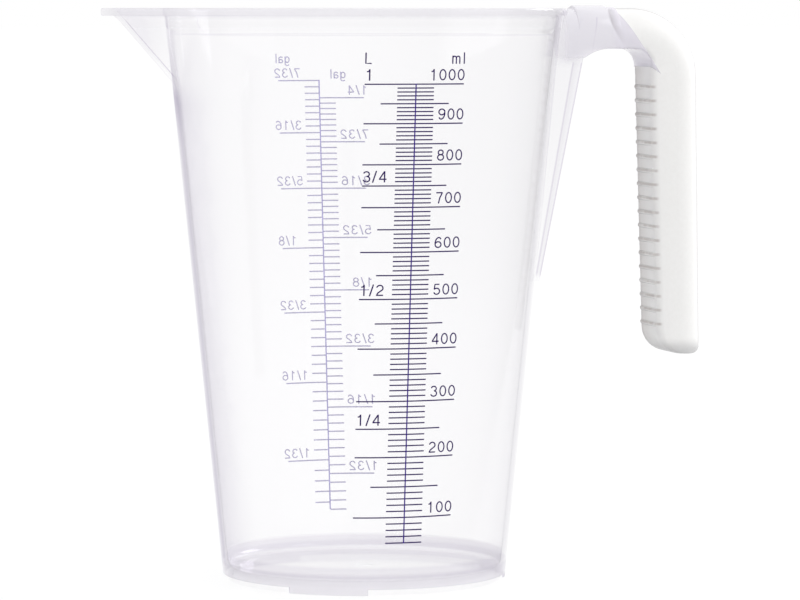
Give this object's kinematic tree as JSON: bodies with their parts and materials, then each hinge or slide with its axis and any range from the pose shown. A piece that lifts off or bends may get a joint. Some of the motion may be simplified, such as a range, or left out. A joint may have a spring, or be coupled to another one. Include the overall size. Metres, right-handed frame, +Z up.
{
  "type": "measuring jug",
  "caption": "Clear tapered measuring jug with a V-shaped pouring lip, an open-ended stacking handle with a white grip, and printed volume scales.",
  "frame": {"origin": "centre of the base on the plane that the jug stands on", "axes": "+Z up along the jug's axis, +X towards the handle, -X towards the pouring lip, the millilitre scale faces -Y"},
  "size_m": [0.1814, 0.119, 0.1679],
  "materials": {
    "clear_plastic": "clear, glossy, faintly violet where it is thick",
    "white_grip": "satin warm white, opaque",
    "front_ink": "deep violet-blue printed ink",
    "back_ink": "violet-blue printed ink"
  },
  "bodies": {
    "root": {"jug_body": "clear_plastic", "handle_grip": "white_grip", "metric_scale": "front_ink", "uk_gallon_scale": "back_ink", "us_gallon_scale": "back_ink"}
  },
  "joints": []
}
